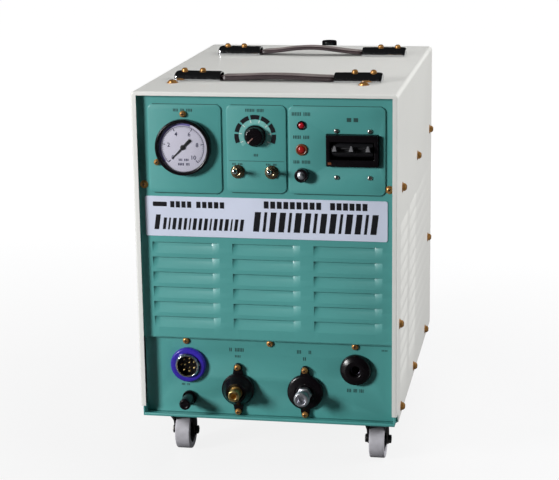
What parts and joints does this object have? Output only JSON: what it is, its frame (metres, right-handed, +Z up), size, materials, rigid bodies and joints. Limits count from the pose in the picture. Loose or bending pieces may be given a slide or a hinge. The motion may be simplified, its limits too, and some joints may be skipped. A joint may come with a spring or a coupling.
{
  "type": "plasma cutter power source",
  "caption": "Upright plasma cutter power source: wrapped casing over a control panel and connector row, carrying straps on top, fan and air regulator behind, on swivel castors.",
  "frame": {"origin": "on the floor, under the middle of the whole object's box", "axes": "+X to the right seen from the front, +Y from the front panel to the rear, +Z up"},
  "size_m": [0.33, 0.541, 0.4978],
  "materials": {
    "cream_paint": "smooth off-white enamel",
    "teal_paint": "satin teal enamel with a faint orange-peel grain",
    "gloss_black": "glossy black moulding",
    "dark_moulding": "fine-grained black moulding",
    "clear_plastic": "clear",
    "needle_black": "matt black",
    "zinc_plate": "zinc plated",
    "bright_chrome": "polished",
    "red_lens": "ribbed translucent red",
    "orange_lens": "ribbed translucent orange",
    "blue_plastic": "glossy deep blue",
    "brass": "bright brass",
    "strap_rubber": "dark brown-black vinyl skin",
    "castor_steel": "zinc plated pressings",
    "grey_tyre": "moulded grey nylon",
    "cast_aluminium": "satin",
    "circuit_board": "green solder mask",
    "transformer_iron": "varnished laminations and windings",
    "copper_winding": "varnished copper"
  },
  "bodies": {
    "chassis": {"outer_casing": "cream_paint", "base_pan": "teal_paint", "front_panel": "teal_paint", "lower_front_panel": "teal_paint", "rear_panel": "teal_paint", "pressure_gauge": "gloss_black", "button_bezel": "gloss_black", "pilot_terminal_flange": "gloss_black", "torch_terminal_flange": "gloss_black", "work_socket": "gloss_black", "fuse_holder": "gloss_black", "breaker_body": "dark_moulding", "fan_frame": "dark_moulding", "mains_gland": "dark_moulding", "gauge_lens": "clear_plastic", "regulator_bowl": "clear_plastic", "left_toggle_body": "zinc_plate", "right_toggle_body": "zinc_plate", "fan_guard": "zinc_plate", "equipment_shelf": "zinc_plate", "control_socket_shell": "bright_chrome", "torch_adaptor": "bright_chrome", "front_handle_cap_left": "bright_chrome", "front_handle_cap_right": "bright_chrome", "rear_handle_cap_left": "bright_chrome", "rear_handle_cap_right": "bright_chrome", "power_lamp": "red_lens", "fault_lamp": "orange_lens", "control_socket_collar": "blue_plastic", "pilot_terminal_stud": "brass", "air_solenoid_valve": "brass", "castor_front_left_plate": "castor_steel", "castor_front_right_plate": "castor_steel", "castor_rear_left_plate": "castor_steel", "castor_rear_right_plate": "castor_steel", "regulator_body": "cast_aluminium", "heat_sink": "cast_aluminium", "inverter_board": "circuit_board", "control_board": "circuit_board", "main_transformer": "transformer_iron", "output_choke": "copper_winding"},
    "current_knob": {"current_knob": "gloss_black"},
    "gauge_pointer": {"gauge_needle": "needle_black"},
    "left_toggle": {"left_toggle_lever": "bright_chrome"},
    "right_toggle": {"right_toggle_lever": "bright_chrome"},
    "button": {"push_button": "bright_chrome"},
    "breaker_lever": {"breaker_handle": "dark_moulding"},
    "fuse_carrier": {"fuse_cap": "gloss_black"},
    "fan": {"fan_rotor": "dark_moulding"},
    "regulator_dial": {"regulator_knob": "dark_moulding"},
    "front_strap": {"front_handle_strap": "strap_rubber"},
    "rear_strap": {"rear_handle_strap": "strap_rubber"},
    "front_left_swivel": {"castor_front_left_fork": "castor_steel"},
    "front_left_wheel": {"castor_front_left_wheel": "grey_tyre"},
    "front_right_swivel": {"castor_front_right_fork": "castor_steel"},
    "front_right_wheel": {"castor_front_right_wheel": "grey_tyre"},
    "rear_left_swivel": {"castor_rear_left_fork": "castor_steel"},
    "rear_left_wheel": {"castor_rear_left_wheel": "grey_tyre"},
    "rear_right_swivel": {"castor_rear_right_fork": "castor_steel"},
    "rear_right_wheel": {"castor_rear_right_wheel": "grey_tyre"}
  },
  "joints": [
    {"name": "front_left_castor_swivel", "type": "hinge", "parent": "chassis", "child": "front_left_swivel", "pos_m": [-0.122, -0.2075, 0.056], "axis": [0, 0, 1], "continuous": true},
    {"name": "front_left_wheel_spin", "type": "hinge", "parent": "front_left_swivel", "child": "front_left_wheel", "pos_m": [-0.122, -0.1855, 0.02469], "axis": [1, 0, 0], "continuous": true},
    {"name": "front_right_castor_swivel", "type": "hinge", "parent": "chassis", "child": "front_right_swivel", "pos_m": [0.134, -0.2075, 0.056], "axis": [0, 0, 1], "continuous": true},
    {"name": "front_right_wheel_spin", "type": "hinge", "parent": "front_right_swivel", "child": "front_right_wheel", "pos_m": [0.134, -0.1855, 0.02469], "axis": [1, 0, 0], "continuous": true},
    {"name": "rear_left_castor_swivel", "type": "hinge", "parent": "chassis", "child": "rear_left_swivel", "pos_m": [-0.122, 0.1325, 0.056], "axis": [0, 0, 1], "continuous": true},
    {"name": "rear_left_wheel_spin", "type": "hinge", "parent": "rear_left_swivel", "child": "rear_left_wheel", "pos_m": [-0.122, 0.1545, 0.02469], "axis": [1, 0, 0], "continuous": true},
    {"name": "rear_right_castor_swivel", "type": "hinge", "parent": "chassis", "child": "rear_right_swivel", "pos_m": [0.134, 0.1325, 0.056], "axis": [0, 0, 1], "continuous": true},
    {"name": "rear_right_wheel_spin", "type": "hinge", "parent": "rear_right_swivel", "child": "rear_right_wheel", "pos_m": [0.134, 0.1545, 0.02469], "axis": [1, 0, 0], "continuous": true},
    {"name": "current_knob_turn", "type": "hinge", "parent": "chassis", "child": "current_knob", "pos_m": [-0.011, -0.2505, 0.431], "axis": [0, 1, 0], "range_deg": [0, 270]},
    {"name": "gauge_pointer_swing", "type": "hinge", "parent": "chassis", "child": "gauge_pointer", "pos_m": [-0.101, -0.2505, 0.4158], "axis": [0, 1, 0], "range_deg": [0, 270], "stiffness_Nm_per_rad": 0.0005},
    {"name": "left_toggle_throw", "type": "hinge", "parent": "chassis", "child": "left_toggle", "pos_m": [-0.0335, -0.2445, 0.386], "axis": [1, 0, 0], "range_deg": [0, 24]},
    {"name": "right_toggle_throw", "type": "hinge", "parent": "chassis", "child": "right_toggle", "pos_m": [0.009, -0.2445, 0.386], "axis": [1, 0, 0], "range_deg": [0, 24]},
    {"name": "button_press", "type": "slide", "parent": "chassis", "child": "button", "axis": [0, 1, 0], "range_m": [0, 0.003], "stiffness_N_per_m": 200, "springref_m": -0.003},
    {"name": "breaker_throw", "type": "hinge", "parent": "chassis", "child": "breaker_lever", "pos_m": [0.109, -0.2385, 0.415], "axis": [1, 0, 0], "range_deg": [0, 36]},
    {"name": "fuse_carrier_twist", "type": "hinge", "parent": "chassis", "child": "fuse_carrier", "pos_m": [-0.1035, -0.2505, 0.0875], "axis": [0, -1, 0], "range_deg": [0, 90]},
    {"name": "fan_spin", "type": "hinge", "parent": "chassis", "child": "fan", "pos_m": [-0.08, 0.1995, 0.32], "axis": [0, 1, 0], "continuous": true},
    {"name": "regulator_dial_turn", "type": "hinge", "parent": "chassis", "child": "regulator_dial", "pos_m": [0.008, 0.2535, 0.475], "axis": [0, 0, 1], "range_deg": [0, 540]},
    {"name": "front_strap_lift", "type": "slide", "parent": "chassis", "child": "front_strap", "axis": [0, 0, 1], "range_m": [0, 0.003]},
    {"name": "rear_strap_lift", "type": "slide", "parent": "chassis", "child": "rear_strap", "axis": [0, 0, 1], "range_m": [0, 0.003]}
  ]
}
